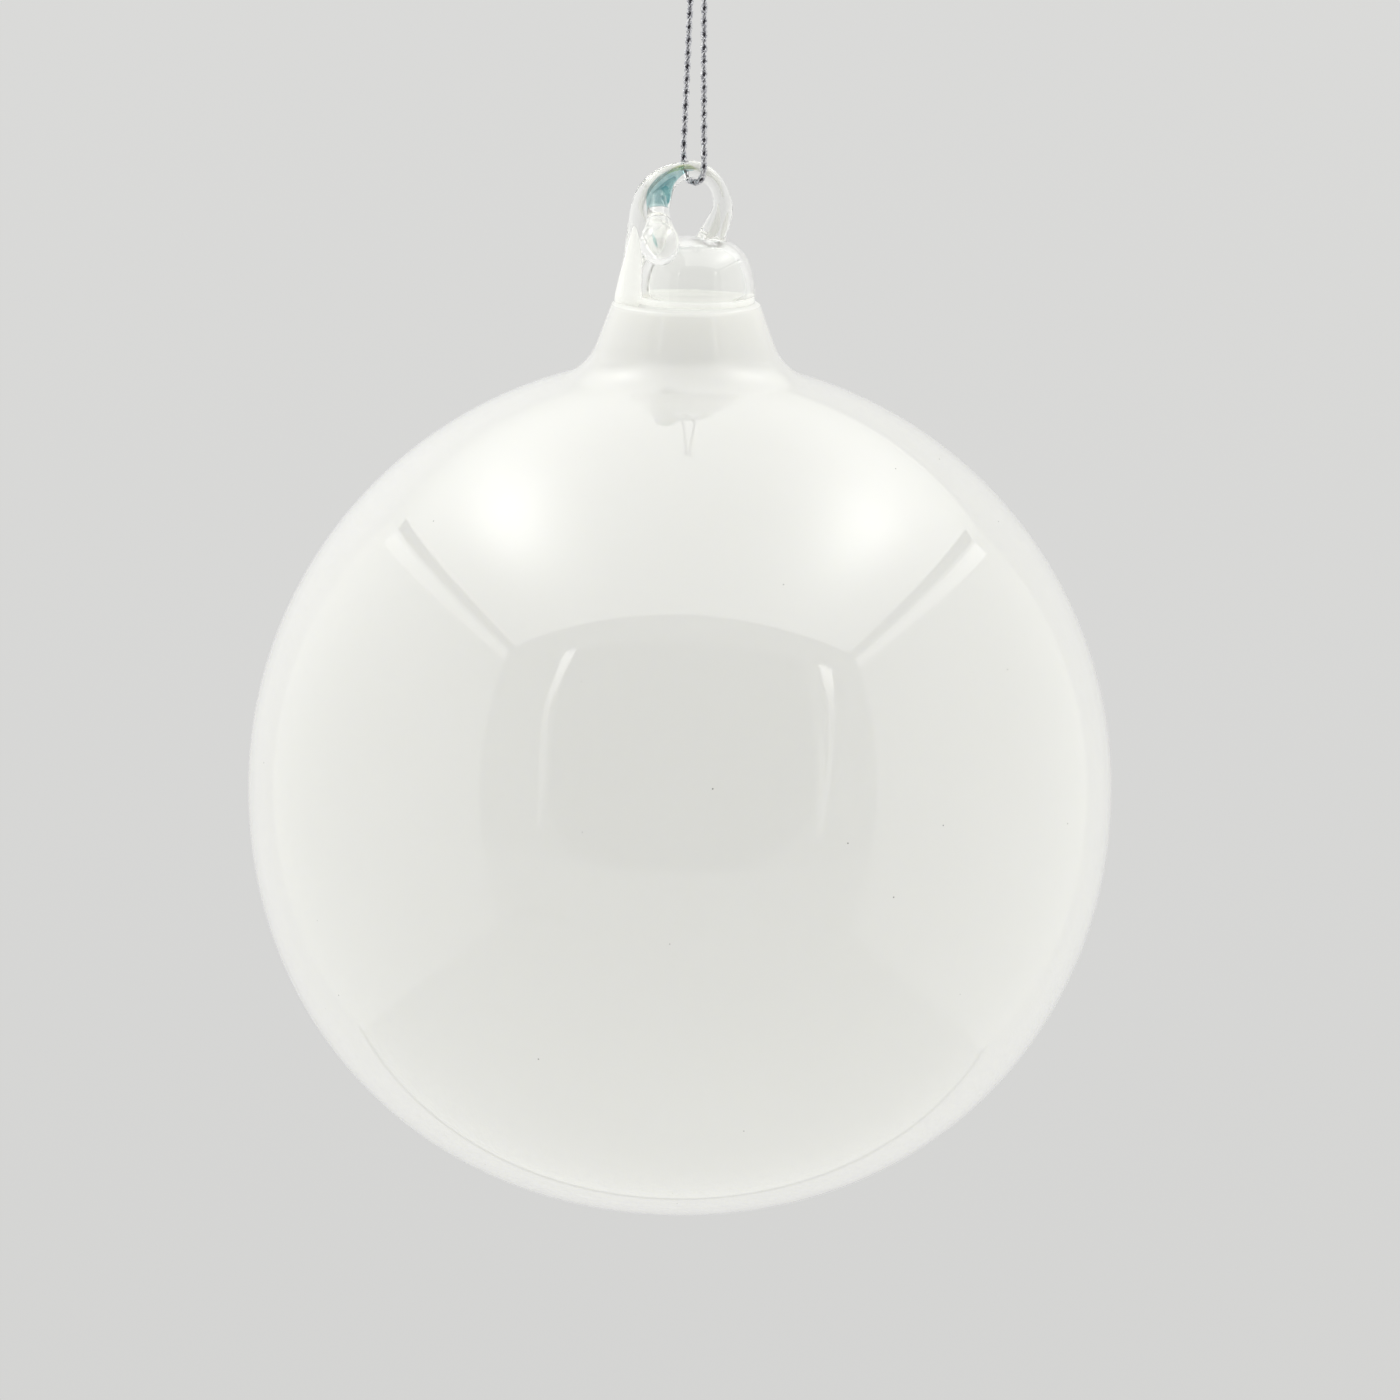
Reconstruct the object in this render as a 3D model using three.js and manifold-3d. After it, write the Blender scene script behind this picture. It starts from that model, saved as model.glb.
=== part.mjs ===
// A hand-blown opal glass ball ornament, hung by a loop of knitted silver thread.
// Millimetres, +Z up, front towards -Y. The origin is the hanging point: the fork of the thread
// loop, just under its knot, where a hook carries the ornament.
import * as THREE from "three";
import { mergeVertices } from "three/addons/utils/BufferGeometryUtils.js";
import Module from "manifold-3d";

// Driving dimensions. The glass is drawn about the ball's centre and hung below the origin.
const ball = { radius: 40, drop: 39.35, fullness: 2.09, wall: 1.3 };
const neck = { rimHeight: 44, rimRadius: 7.14, taper: 0.25, fillet: 5 };
const gather = { topHeight: 51.5, domeHeight: 45.65, domeOffset: 0.64, domeRadius: 5.9, plugDepth: 2 };
const ring = { height: 53.85, offset: 0.35, topRodRadius: 0.78, topRodHeight: 3.7 };
const thread = { diameter: 0.65, loopDrop: 30, knotRadius: 1.25, knotHeight: 2.7, tailLength: 5 };
const neckLean = THREE.MathUtils.degToRad(0.75); // to the left, so the ball hangs a little to the right
const ballOffset = 0.2;
const fusedGap = 0.3; // between pieces that are fused hot on the real ornament
const threadClearance = 0.1; // between the thread and the rod that hangs on it

// How far the ball's centre is below the origin: the rod's underside rests on the thread.
const rodUndersideHeight = ring.height + ring.topRodHeight - ring.topRodRadius;
const ballDrop = thread.loopDrop + rodUndersideHeight - thread.diameter / 2 - threadClearance;

// The rod of clear glass, as [x, y, z, radius] about the ring's centre. It is drawn up from the
// left of the gather as a thick stem, thins over the top and comes down as the right arm.
const rodStations = [
  [-3.75, 0, -7.5, 2.1],
  [-3.85, 0, -2.7, 2.05],
  [-3.7, 0, 0.1, 1.8],
  [-3.3, 0, 1.45, 1.6],
  [-2.65, 0, 2.45, 1.25],
  [-1.5, 0, 3.25, 0.98],
  [0.1, 0, ring.topRodHeight, ring.topRodRadius],
  [1.2, 0, 3.33, 0.77],
  [2.0, 0, 2.7, 0.75],
  [2.6, 0, 1.75, 0.78],
  [2.9, 0, 0.2, 0.93],
  [2.6, 0, -1.2, 1.15],
  [2.1, 0, -2.9, 1.35],
];

// The rod's tail, laid over the stem and pressed onto the front of the gather as a flat drop.
const tailStations = [
  [-2.9, -1.3, 1.0, 0.5],
  [-3.0, -2.0, 0.0, 1.15],
  [-3.05, -2.9, -1.5, 1.3],
  [-2.85, -4.1, -3.0, 1.65],
  [-2.65, -5.0, -4.1, 1.75],
  [-2.55, -5.7, -5.1, 1.1],
  [-2.5, -6.0, -5.5, 0.3],
];

// The streak of teal glass in the ring's upper left, along its front.
const streakStations = [
  [-3.05, -0.95, 1.0, 0.35],
  [-2.95, -0.85, 1.8, 0.72],
  [-2.4, -0.6, 2.6, 0.62],
  [-1.4, -0.45, 3.25, 0.42],
  [-0.3, -0.4, 3.5, 0.22],
];

// The thread's route from the fork down the front strand, through the ring and up the back strand.
const threadRoute = [
  [0.34, -0.34, -0.2],
  [0.42, -0.46, -5],
  [0.52, -0.66, -11],
  [0.64, -0.88, -17],
  [0.76, -1.12, -22],
  [0.87, -1.34, -26],
  [0.92, -1.45, -28],
  [0.9, -1.42, -28.9],
  [0.72, -1.14, -29.55],
  [0.4, -0.63, -29.92],
  [0, 0, -30],
  [-0.4, 0.63, -29.92],
  [-0.74, 1.14, -29.55],
  [-0.93, 1.42, -28.9],
  [-0.97, 1.45, -28],
  [-0.96, 1.34, -26],
  [-0.88, 1.1, -22],
  [-0.78, 0.86, -17],
  [-0.65, 0.64, -11],
  [-0.5, 0.45, -5],
  [-0.38, 0.34, -0.2],
];

const wasm = await Module();
wasm.setup();

const materials = {
  opalGlass: new THREE.MeshStandardMaterial({ color: 0xf1f1ec, roughness: 0.04 }),
  clearGlass: new THREE.MeshStandardMaterial({
    color: 0xeef2ee,
    roughness: 0.02,
    transparent: true,
    opacity: 0.35,
  }),
  tealGlass: new THREE.MeshStandardMaterial({ color: 0x6fa3a6, roughness: 0.05 }),
  silverThread: new THREE.MeshStandardMaterial({ color: 0xb9b9c0, roughness: 0.3, metalness: 0.9 }),
};

// --- geometry helpers ---

const point2 = (x, y) => new THREE.Vector2(x, y);
const point3 = (x, y, z) => new THREE.Vector3(x, y, z);
const acrossLoop = point3(0, 1, 0);
const acrossTail = point3(1, 0, 0);

// Turns a profile of (radius, height) points about +Z.
function turned(profile, segments) {
  return new THREE.LatheGeometry(profile, segments).rotateX(Math.PI / 2);
}

// Points on an arc about a centre, from one angle to another, in degrees.
function arcPoints(centre, radius, from, to, steps) {
  return Array.from({ length: steps + 1 }, (_, i) => {
    const angle = THREE.MathUtils.degToRad(THREE.MathUtils.lerp(from, to, i / steps));
    return point2(centre.x + radius * Math.cos(angle), centre.y + radius * Math.sin(angle));
  });
}

// A closed round rod through the stations, with the radius changing smoothly between them.
// The across direction is square to the plane that the rod bends in.
function taperedRod(stations, across, growth, sides, steps) {
  const path = new THREE.CatmullRomCurve3(stations.map(([x, y, z]) => point3(x, y, z)));
  const radii = new THREE.SplineCurve(stations.map(([, , , radius], i) => point2(i, radius)));
  const rod = new THREE.CylinderGeometry(1, 1, 1, sides, steps);
  const vertices = rod.getAttribute("position");
  for (let i = 0; i < vertices.count; i++) {
    const t = vertices.getY(i) + 0.5;
    const radius = radii.getPoint(t).y + growth;
    const outward = path.getTangent(t).cross(across).normalize();
    const place = path.getPoint(t);
    place.addScaledVector(outward, radius * vertices.getX(i));
    place.addScaledVector(across, radius * vertices.getZ(i));
    vertices.setXYZ(i, place.x, place.y, place.z);
  }
  return rod.translate(ring.offset, 0, ring.height);
}

// A geometry as a manifold-3d solid.
function solidOf(geometry) {
  const bare = new THREE.BufferGeometry();
  bare.setAttribute("position", geometry.getAttribute("position"));
  bare.setIndex(geometry.index);
  const merged = mergeVertices(bare, 1e-4);
  return new wasm.Manifold(
    new wasm.Mesh({
      numProp: 3,
      vertProperties: new Float32Array(merged.attributes.position.array),
      triVerts: new Uint32Array(merged.index.array),
    }),
  );
}

// A manifold-3d solid as a geometry.
function geometryOf(solid) {
  const mesh = solid.getMesh();
  const geometry = new THREE.BufferGeometry();
  geometry.setAttribute("position", new THREE.BufferAttribute(new Float32Array(mesh.vertProperties), 3));
  geometry.setIndex(new THREE.BufferAttribute(new Uint32Array(mesh.triVerts), 1));
  geometry.computeVertexNormals();
  return geometry;
}

function piece(name, geometry, material) {
  const mesh = new THREE.Mesh(geometry, material);
  mesh.name = name;
  return mesh;
}

// --- the glass, about the ball's centre ---

// Where the fillet between ball and neck is centred, and the neck's outward normal.
function filletFrame() {
  const slope = Math.hypot(1, neck.taper);
  const normal = point2(1 / slope, neck.taper / slope);
  const down = point2(neck.taper / slope, -1 / slope);
  const start = point2(neck.rimRadius, neck.rimHeight).addScaledVector(normal, neck.fillet);
  const along = start.dot(down);
  const travel = -along - Math.sqrt(along ** 2 - start.lengthSq() + (ball.radius + neck.fillet) ** 2);
  return { centre: start.addScaledVector(down, travel), normal };
}

// The profile of ball and neck, a depth inside the outer surface, from the bottom to the rim.
function bubbleProfile(depth, bottomSteps, topSteps, filletSteps) {
  const { centre, normal } = filletFrame();
  const radius = ball.radius - depth;
  const power = 2 / ball.fullness;
  const bottom = Array.from({ length: bottomSteps + 1 }, (_, i) => {
    const angle = (Math.PI / 2) * (i / bottomSteps);
    const height = -(ball.drop - depth) * Math.abs(Math.cos(angle)) ** power;
    return point2(radius * Math.sin(angle) ** power, i === bottomSteps ? 0 : height);
  });
  const tangent = THREE.MathUtils.radToDeg(centre.angle());
  const neckAngle = THREE.MathUtils.radToDeg(normal.angle());
  return [
    ...bottom,
    ...arcPoints(point2(0, 0), radius, 0, tangent, topSteps).slice(1),
    ...arcPoints(centre, neck.fillet + depth, 180 + tangent, 180 + neckAngle, filletSteps).slice(1),
    point2(neck.rimRadius - depth * Math.hypot(1, neck.taper), neck.rimHeight),
  ];
}

// The blown bubble: a hollow ball with its neck, open where it was cracked off the blowpipe.
function opalBall() {
  const outside = bubbleProfile(0, 11, 9, 4);
  const inside = bubbleProfile(ball.wall, 8, 7, 3).reverse();
  return piece("opal_ball", turned([...outside, ...inside], 48), materials.opalGlass);
}

// The clear gather that seals the neck: a plug in the bore, under a rounded cap.
function gatherSolid(growth) {
  const seatHeight = neck.rimHeight + fusedGap - growth;
  const seatRadius = neck.rimRadius - neck.taper * fusedGap + growth;
  const boreRadius = neck.rimRadius - ball.wall * Math.hypot(1, neck.taper);
  const plugRadius = boreRadius - fusedGap + growth;
  const plugBottom = neck.rimHeight - gather.plugDepth - growth;
  const domeCentre = point2(gather.domeOffset, gather.domeHeight);
  const neckAngle = THREE.MathUtils.radToDeg(Math.atan(neck.taper));
  const profile = [
    point2(0, plugBottom),
    ...arcPoints(point2(plugRadius - 1, plugBottom + 1), 1, -90, 0, 3),
    point2(plugRadius, seatHeight),
    point2(seatRadius, seatHeight),
    ...arcPoints(domeCentre, gather.domeRadius + growth, neckAngle, 90, 8),
    point2(0, gather.topHeight + growth),
  ];
  return solidOf(turned(profile, 36));
}

// The clear rod, which grows out of the gather on the left and lands on its right shoulder.
function rodSolid(growth) {
  return solidOf(taperedRod(rodStations, acrossLoop, growth, 18, 40));
}

function tailSolid() {
  return solidOf(taperedRod(tailStations, acrossTail, 0, 16, 14));
}

function streakSolid(growth) {
  return solidOf(taperedRod(streakStations, acrossLoop, growth, 10, 12));
}

// All the glass. Fused neighbours are cut back from each other by the gap.
function glassGroup() {
  const gatherCutter = gatherSolid(fusedGap);
  const streakCutter = streakSolid(fusedGap);
  const rod = rodSolid(0).subtract(gatherCutter).subtract(streakCutter);
  const tail = tailSolid().subtract(gatherCutter).subtract(rodSolid(fusedGap)).subtract(streakCutter);
  const group = new THREE.Group();
  group.add(
    opalBall(),
    piece("neck_gather", geometryOf(gatherSolid(0)), materials.clearGlass),
    piece("loop_rod", geometryOf(rod), materials.clearGlass),
    piece("loop_tail", geometryOf(tail), materials.clearGlass),
    piece("teal_streak", geometryOf(streakSolid(0)), materials.tealGlass),
  );
  group.rotation.y = -neckLean;
  group.position.set(ballOffset, 0, -ballDrop);
  return group;
}

// --- the thread, about the hanging point ---

// A stretch of a curve between two shares of its length.
class Stretch extends THREE.Curve {
  constructor(whole, from, to) {
    super();
    Object.assign(this, { whole, from, to });
  }
  getPoint(t) {
    return this.whole.getPointAt(THREE.MathUtils.lerp(this.from, this.to, t));
  }
}

function threadTube(curve, steps) {
  const sides = 8;
  const section = new THREE.Shape(
    Array.from({ length: sides }, (_, i) => {
      const angle = (2 * Math.PI * i) / sides;
      return point2(Math.cos(angle), Math.sin(angle)).multiplyScalar(thread.diameter / 2);
    }),
  );
  return new THREE.ExtrudeGeometry(section, { steps, extrudePath: curve });
}

// The two strands, and the bight that turns with the ball.
function threadLoop() {
  const route = new THREE.CatmullRomCurve3(threadRoute.map((place) => point3(...place)));
  const length = route.getLength();
  const bightLength = 12;
  const bightStart = (length - bightLength) / 2 / length;
  const gap = fusedGap / length;
  const stretches = [
    ["thread_front_strand", 0, bightStart - gap, 14],
    ["thread_bight", bightStart, 1 - bightStart, 24],
    ["thread_back_strand", 1 - bightStart + gap, 1, 14],
  ];
  return stretches.map(([name, from, to, steps]) =>
    piece(name, threadTube(new Stretch(route, from, to), steps), materials.silverThread),
  );
}

// The overhand knot that closes the loop, with its two cut tails.
function threadKnot() {
  const bottom = 0.12;
  const middle = bottom + thread.knotHeight / 2;
  const waist = 0.6;
  const profile = [
    point2(0, bottom),
    point2(waist, bottom),
    ...arcPoints(point2(waist, middle), thread.knotRadius - waist, -70, 70, 5),
    point2(waist, bottom + thread.knotHeight),
    point2(0, bottom + thread.knotHeight),
  ];
  const tails = [1, -1].map((side) => {
    const top = middle + thread.tailLength;
    return new THREE.QuadraticBezierCurve3(
      point3(0.4 * side, 0, middle),
      point3(0.5 * side, 0, (middle + top) / 2),
      point3(1.5 * side, -0.3 * side, top),
    );
  });
  const knot = tails.reduce(
    (solid, tail) => solid.add(solidOf(threadTube(tail, 5))),
    solidOf(turned(profile, 18)),
  );
  return piece("thread_knot", geometryOf(knot), materials.silverThread);
}

const ornament = new THREE.Group();
ornament.add(glassGroup(), ...threadLoop(), threadKnot());

export default ornament;
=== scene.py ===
"""A hand-blown opal glass ball ornament on a loop of silver thread, hung in a white light tent."""
import math

import bpy
import numpy as np
from mathutils import Matrix, Vector


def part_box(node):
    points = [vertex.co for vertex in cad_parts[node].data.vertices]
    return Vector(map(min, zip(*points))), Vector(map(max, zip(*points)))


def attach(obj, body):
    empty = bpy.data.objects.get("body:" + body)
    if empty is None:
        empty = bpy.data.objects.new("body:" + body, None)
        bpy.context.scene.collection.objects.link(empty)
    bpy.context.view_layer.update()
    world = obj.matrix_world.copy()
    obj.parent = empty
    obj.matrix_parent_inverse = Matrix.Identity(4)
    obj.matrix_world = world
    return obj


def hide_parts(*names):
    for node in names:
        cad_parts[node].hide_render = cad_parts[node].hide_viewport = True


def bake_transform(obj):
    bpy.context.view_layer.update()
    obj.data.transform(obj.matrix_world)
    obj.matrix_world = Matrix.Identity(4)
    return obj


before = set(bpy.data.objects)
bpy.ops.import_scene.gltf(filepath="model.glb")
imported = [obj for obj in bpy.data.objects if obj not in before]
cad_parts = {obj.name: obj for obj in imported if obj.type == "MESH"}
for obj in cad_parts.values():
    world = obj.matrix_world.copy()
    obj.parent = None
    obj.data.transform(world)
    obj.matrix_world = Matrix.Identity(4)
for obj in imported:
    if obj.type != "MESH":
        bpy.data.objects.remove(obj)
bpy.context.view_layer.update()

MM = 0.001

# --- the glass's own frame: millimetres about the ball's centre, leaned with the neck ---

BALL_RADIUS = 40
BALL_DROP = 39.35
BALL_FULLNESS = 2.09
WALL = 1.3
RIM_HEIGHT = 45.2
RIM_RADIUS = 6.8
NECK_TAPER = 0.37  # how much wider the neck is for each millimetre down from its rim
NECK_FILLET = 5.3
NECK_FOOT = 37.5  # the skin's polish fades from here up to the waist
NECK_WAIST = 40.5
DOME_FOOT = 45.6
DOME_OFFSET = 0.85
DOME_RADIUS = 5.45
DOME_RISE = 5.7
DOME_FULLNESS = 2.7
RING_HEIGHT = 53.85
RING_OFFSET = 0.35
NECK_LEAN = math.radians(0.75)

ball_low, ball_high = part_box("opal_ball")
ball_centre = Vector(((ball_low[0] + ball_high[0]) / 2, 0, ball_low[2] + BALL_DROP * MM))
glass_frame = (
    Matrix.Translation(ball_centre)
    @ Matrix.Rotation(-NECK_LEAN, 4, "Y")
    @ Matrix.Scale(MM, 4)
)


# --- mesh helpers ---


def mesh_object(name, vertices, faces, matrix=Matrix.Identity(4)):
    """An object with a smooth-shaded mesh, whose points are placed by the matrix."""
    mesh = bpy.data.meshes.new(name)
    mesh.from_pydata([tuple(v) for v in vertices], [], [tuple(f) for f in faces])
    mesh.transform(matrix)
    mesh.shade_smooth()
    mesh.update()
    obj = bpy.data.objects.new(name, mesh)
    bpy.context.scene.collection.objects.link(obj)
    return obj


def arc(centre, radius, start, end, steps):
    """Points on an arc about a centre, from one angle to another, in radians."""
    angles = np.linspace(start, end, steps + 1)
    return np.stack([centre[0] + radius * np.cos(angles), centre[1] + radius * np.sin(angles)], 1)


def revolve(profile, segments):
    """Vertices and faces of a (radius, height) profile turned about Z. A radius of 0 is a pole."""
    angles = np.arange(segments) * 2 * math.pi / segments
    vertices, rows, faces = [], [], []
    for radius, height in profile:
        if radius < 1e-9:
            rows.append([len(vertices)] * segments)
            vertices.append((0, 0, height))
        else:
            rows.append(list(range(len(vertices), len(vertices) + segments)))
            vertices += [(radius * math.cos(a), radius * math.sin(a), height) for a in angles]
    for low, high in zip(rows, rows[1:]):
        for i in range(segments):
            j = (i + 1) % segments
            corners = dict.fromkeys([low[i], low[j], high[j], high[i]])
            if len(corners) > 2:
                faces.append(list(corners))
    return np.array(vertices, float), faces


def spline(points, per_span):
    """Points on a smooth curve through every given point, as many to a span as asked."""
    p = np.array(points, float)
    ends = np.vstack([2 * p[0] - p[1], p, 2 * p[-1] - p[-2]])
    t = np.linspace(0, 1, per_span, endpoint=False)[:, None]
    spans = []
    for a, b, c, d in zip(ends, ends[1:], ends[2:], ends[3:]):
        curve = 2 * b + (c - a) * t + (2 * a - 5 * b + 4 * c - d) * t**2 + (3 * b - a - 3 * c + d) * t**3
        spans.append(curve / 2)
    return np.vstack([*spans, p[-1:]])


def even(line, step):
    """The same line with its points a step apart, to the nearest whole number of steps."""
    along = np.concatenate([[0], np.cumsum(np.linalg.norm(np.diff(line, axis=0), axis=1))])
    places = np.linspace(0, along[-1], max(2, round(along[-1] / step) + 1))
    return np.stack([np.interp(places, along, line[:, k]) for k in range(line.shape[1])], 1)


def unit(v):
    """Vectors of length 1 that point the same way."""
    return v / np.linalg.norm(v, axis=-1, keepdims=True)


def facing_frames(line, facing):
    """Two directions across a line at each point, the first as near as it can be to a given one."""
    tangents = unit(np.gradient(line, axis=0))
    across = unit(facing - tangents * (tangents @ facing)[:, None])
    return across, np.cross(tangents, across)


def tube(line, across, beside, width, depth, sides):
    """Vertices and faces of a closed tube of elliptical section. Width and depth may vary along it."""
    count = len(line)
    width = np.broadcast_to(width, count)[:, None, None]
    depth = np.broadcast_to(depth, count)[:, None, None]
    angles = np.arange(sides) * 2 * math.pi / sides
    rings = (
        line[:, None]
        + across[:, None] * width * np.cos(angles)[None, :, None]
        + beside[:, None] * depth * np.sin(angles)[None, :, None]
    )
    vertices = np.vstack([rings.reshape(-1, 3), line[:1], line[-1:]])
    faces = []
    for i in range(count - 1):
        for j in range(sides):
            k = (j + 1) % sides
            faces.append((i * sides + j, i * sides + k, (i + 1) * sides + k, (i + 1) * sides + j))
    last = (count - 1) * sides
    for j in range(sides):
        k = (j + 1) % sides
        faces.append((k, j, len(vertices) - 2))
        faces.append((last + j, last + k, len(vertices) - 1))
    return vertices, faces


def joined(parts):
    """Vertices and faces of several parts as one mesh."""
    vertices, faces, count = [], [], 0
    for part_vertices, part_faces in parts:
        vertices.append(part_vertices)
        faces += [tuple(i + count for i in face) for face in part_faces]
        count += len(part_vertices)
    return np.vstack(vertices), faces


def apply_modifiers(obj):
    """Bakes an object's modifiers into its mesh."""
    bpy.context.view_layer.update()
    evaluated = obj.evaluated_get(bpy.context.evaluated_depsgraph_get())
    mesh = bpy.data.meshes.new_from_object(evaluated)
    obj.modifiers.clear()
    obj.data = mesh
    mesh.shade_smooth()


# --- the camera: in front and a little right of the ball, looking down, tilted with the picture ---

CAMERA_DISTANCE = 0.8
VIEW_WIDTH = 0.1295  # what the picture's width covers at the ball
CAMERA_RIGHT = 1.64 * MM
CAMERA_UP = 8.14 * MM
CAMERA_ROLL = math.radians(1.5)
CAMERA_PITCH = math.radians(10.5)  # how far it looks down; the light tent is pitched with it
SENSOR = 36

# A turn about the ball's centre, for the camera and for everything that stands round the ball.
pitched = (
    Matrix.Translation(ball_centre)
    @ Matrix.Rotation(-CAMERA_PITCH, 4, "X")
    @ Matrix.Translation(-ball_centre)
)


def make_camera():
    """The scene's camera, placed level in front of the ball, then rolled and pitched."""
    data = bpy.data.cameras.new("camera")
    data.sensor_width = SENSOR
    data.lens = SENSOR * CAMERA_DISTANCE / VIEW_WIDTH
    data.clip_start = 0.01
    data.clip_end = 20
    camera = bpy.data.objects.new("camera", data)
    place = Matrix.Translation(ball_centre + Vector((CAMERA_RIGHT, -CAMERA_DISTANCE, CAMERA_UP)))
    level = Matrix.Rotation(math.pi / 2, 4, "X")
    camera.matrix_world = pitched @ place @ Matrix.Rotation(-CAMERA_ROLL, 4, "Y") @ level
    bpy.context.scene.collection.objects.link(camera)
    bpy.context.scene.camera = camera


make_camera()

# --- materials ---


class Shading:
    """A material's node tree, with short calls for the nodes that are used here."""

    def __init__(self, name):
        self.material = bpy.data.materials.new(name)
        self.material.use_nodes = True
        self.nodes = self.material.node_tree.nodes
        self.links = self.material.node_tree.links
        self.nodes.clear()
        self.output = self.nodes.new("ShaderNodeOutputMaterial")

    def node(self, kind, inputs=None, **settings):
        """A node with its settings and inputs. An input that is a socket is linked, any other is set."""
        made = self.nodes.new("ShaderNode" + kind)
        for key, value in settings.items():
            setattr(made, key, value)
        for key, value in (inputs or {}).items():
            if isinstance(value, bpy.types.NodeSocket):
                self.links.new(value, made.inputs[key])
            else:
                made.inputs[key].default_value = value
        return made

    def place(self):
        """Where a point is on the object, in metres."""
        return self.node("TexCoord").outputs["Object"]

    def noise(self, place, scale, detail):
        """Smooth noise at a place, with so many waves to the metre."""
        made = self.node("TexNoise", {"Vector": place, "Scale": scale, "Detail": detail})
        return made.outputs["Fac"]

    def math(self, operation, *values):
        """One arithmetic step on values or sockets."""
        return self.node("Math", dict(enumerate(values)), operation=operation).outputs[0]

    def spread(self, value, low, high, to_low=0.0, to_high=1.0):
        """A value carried from one range to another, and held at its ends."""
        names = ("From Min", "From Max", "To Min", "To Max")
        inputs = dict(zip(names, (low, high, to_low, to_high)))
        return self.node("MapRange", {"Value": value, **inputs}).outputs[0]

    def mix(self, share, first, second):
        """A colour between two others."""
        made = self.node("Mix", data_type="RGBA")
        for socket, value in zip((made.inputs[0], made.inputs[6], made.inputs[7]), (share, first, second)):
            if isinstance(value, bpy.types.NodeSocket):
                self.links.new(value, socket)
            else:
                socket.default_value = value
        return made.outputs[2]

    def bump(self, height, distance):
        """A normal that is tilted by a height, which stands for this distance in metres."""
        return self.node("Bump", {"Height": height, "Distance": distance}).outputs["Normal"]

    def finish(self, shader):
        """The finished material, with this shader on its surface."""
        self.links.new(shader, self.output.inputs["Surface"])
        return self.material


BALL_ROUGHNESS = 0.03
NECK_ROUGHNESS = 0.16
SPECK_SCALE = 270.0
SPECK_CORE, SPECK_EDGE = 0.014, 0.024  # the radii of a speck's dark middle and of its rim, in cells
SPECK_STRENGTH = 0.75
GLASS_IOR = 1.5
CAUGHT_IOR = 1.02  # nearly no bending, for glass that is inside other glass


def opal_glass():
    """Milk-white glass with a fire-polished skin, duller on the neck, with milky drifts and tiny specks."""
    s = Shading("opal_glass")
    place = s.place()
    drift = s.noise(place, scale=28.0, detail=2.0)
    white = s.mix(s.spread(drift, 0.35, 0.65), (0.905, 0.9, 0.872, 1), (0.925, 0.92, 0.892, 1))
    seed = s.node("TexVoronoi", {"Vector": place, "Scale": SPECK_SCALE}, feature="F1")
    speck = s.spread(seed.outputs["Distance"], SPECK_CORE, SPECK_EDGE, 1.0, 0.0)
    colour = s.mix(s.math("MULTIPLY", speck, SPECK_STRENGTH), white, (0.12, 0.12, 0.11, 1))
    ripple = s.bump(s.noise(place, scale=60.0, detail=1.0), distance=0.00002)
    height = s.node("SeparateXYZ", {0: place}).outputs["Z"]
    foot = ball_centre.z + NECK_FOOT * MM
    waist = ball_centre.z + NECK_WAIST * MM
    roughness = s.spread(height, foot, waist, BALL_ROUGHNESS, NECK_ROUGHNESS)
    shader = s.node("BsdfPrincipled", {"Base Color": colour, "Roughness": roughness, "Normal": ripple})
    shader.inputs["IOR"].default_value = GLASS_IOR
    shader.inputs["Subsurface Weight"].default_value = 0.6
    shader.inputs["Subsurface Radius"].default_value = (1.0, 1.0, 0.9)
    shader.inputs["Subsurface Scale"].default_value = 0.002
    return s.finish(shader.outputs[0])


def dense_white(name, dense, thin, painted_glow=0.0):
    """White glass several skins thick, cloudy between two tints. It may be given a painted glow, which
    stands in for light carried to it.
    """
    s = Shading(name)
    cloud = s.noise(s.place(), scale=400.0, detail=2.0)
    white = s.mix(cloud, (*dense, 1), (*thin, 1))
    shader = s.node("BsdfPrincipled", {"Base Color": white})
    shader.inputs["Roughness"].default_value = 0.3
    # painted glow: the white gives off a little light of its own
    shader.inputs["Emission Color"].default_value = (1, 1, 0.97, 1)
    shader.inputs["Emission Strength"].default_value = painted_glow
    return s.finish(shader.outputs[0])


def clear_glass():
    """Clear glass with a little haze, and faint cords where it was pulled."""
    s = Shading("clear_glass")
    place = s.place()
    pulled = s.node("Mapping", {"Vector": place, "Scale": (1, 1, 0.35)}).outputs[0]
    cords = s.noise(pulled, scale=700.0, detail=2.0)
    tint = s.mix(cords, (0.975, 0.98, 0.965, 1), (1.0, 1.0, 0.99, 1))
    shader = s.node("BsdfPrincipled", {"Base Color": tint, "Normal": s.bump(cords, distance=0.00001)})
    shader.inputs["Roughness"].default_value = 0.0
    shader.inputs["IOR"].default_value = GLASS_IOR
    shader.inputs["Transmission Weight"].default_value = 0.89
    return s.finish(shader.outputs[0])


def milky_wisp():
    """Thin white glass drawn out in the clear rod."""
    s = Shading("milky_wisp")
    wisps = s.noise(s.place(), scale=1200.0, detail=3.0)
    white = s.mix(wisps, (0.93, 0.93, 0.90, 1), (0.99, 0.99, 0.97, 1))
    shader = s.node("BsdfPrincipled", {"Base Color": white})
    shader.inputs["Roughness"].default_value = 0.4
    shader.inputs["IOR"].default_value = CAUGHT_IOR
    shader.inputs["Transmission Weight"].default_value = 0.45
    return s.finish(shader.outputs[0])


def caught_glass(name, dense, thin):
    """Coloured glass caught inside the clear glass, patchy between two tints."""
    s = Shading(name)
    patches = s.noise(s.place(), scale=1500.0, detail=3.0)
    tint = s.mix(s.spread(patches, 0.35, 0.7), (*dense, 1), (*thin, 1))
    shader = s.node("BsdfPrincipled", {"Base Color": tint})
    shader.inputs["Roughness"].default_value = 0.1
    shader.inputs["IOR"].default_value = CAUGHT_IOR
    shader.inputs["Transmission Weight"].default_value = 1.0
    return s.finish(shader.outputs[0])


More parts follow.
